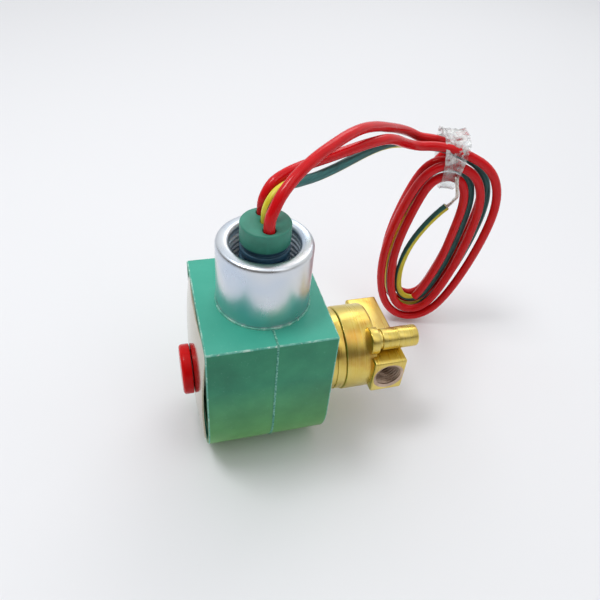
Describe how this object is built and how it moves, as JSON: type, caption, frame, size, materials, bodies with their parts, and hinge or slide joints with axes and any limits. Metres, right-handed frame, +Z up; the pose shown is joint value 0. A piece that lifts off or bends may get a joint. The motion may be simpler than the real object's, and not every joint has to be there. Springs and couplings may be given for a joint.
{
  "type": "solenoid valve",
  "caption": "Direct-acting solenoid valve: moulded coil with threaded conduit hub and leads tied in a hank, on a brass body with a barrel, opposed pipe ports and an end stub.",
  "frame": {"origin": "on the axis of the inlet port, where its thread starts just behind the mouth", "axes": "+X along the solenoid axis from the cap end to the port end, +Y from the inlet port to the outlet port, +Z up along the conduit hub"},
  "size_m": [0.124, 0.0712, 0.103],
  "materials": {
    "brass": "machined, bright",
    "black_rubber": "moulded",
    "stainless": "turned",
    "zinc_steel": "zinc plated",
    "copper": "drawn",
    "red_plastic": "moulded",
    "green_epoxy": "moulded epoxy, satin",
    "plate_metal": "bright, bare",
    "boot_green": "moulded",
    "bobbin_plastic": "moulded",
    "lead_red": "extruded insulation",
    "lead_green": "extruded insulation with a yellow stripe",
    "tinned_copper": "tinned strands",
    "clear_tape": "crumpled clear tape"
  },
  "bodies": {
    "valve": {"valve_body": "brass", "end_stub": "brass", "bonnet": "brass", "body_gasket": "black_rubber", "core_tube": "stainless", "plugnut": "stainless", "shading_ring": "copper", "spring_washer": "zinc_steel", "retaining_cap": "red_plastic"},
    "core": {"core": "stainless", "core_disc": "black_rubber", "core_spring": "stainless"},
    "coil": {"coil_housing": "green_epoxy", "nameplate": "plate_metal", "conduit_hub": "zinc_steel", "lead_boot": "boot_green", "bobbin": "bobbin_plastic", "winding": "copper", "flux_sleeve": "zinc_steel", "flux_plate_front": "zinc_steel", "flux_plate_rear": "zinc_steel", "lead_red_near": "lead_red", "lead_red_far": "lead_red", "lead_ground": "lead_green", "hank_red_near": "lead_red", "hank_red_far": "lead_red", "hank_ground": "lead_green", "ground_strands": "tinned_copper", "wire_tie": "clear_tape"}
  },
  "joints": [
    {"name": "coil_turn", "type": "hinge", "parent": "valve", "child": "coil", "pos_m": [-0.0618, 0.0159, 0], "axis": [1, 0, 0], "continuous": true},
    {"name": "core_lift", "type": "slide", "parent": "valve", "child": "core", "axis": [-1, 0, 0], "range_m": [0, 0.0016], "stiffness_N_per_m": 300, "springref_m": -0.006, "deforming": ["core_spring"]}
  ]
}
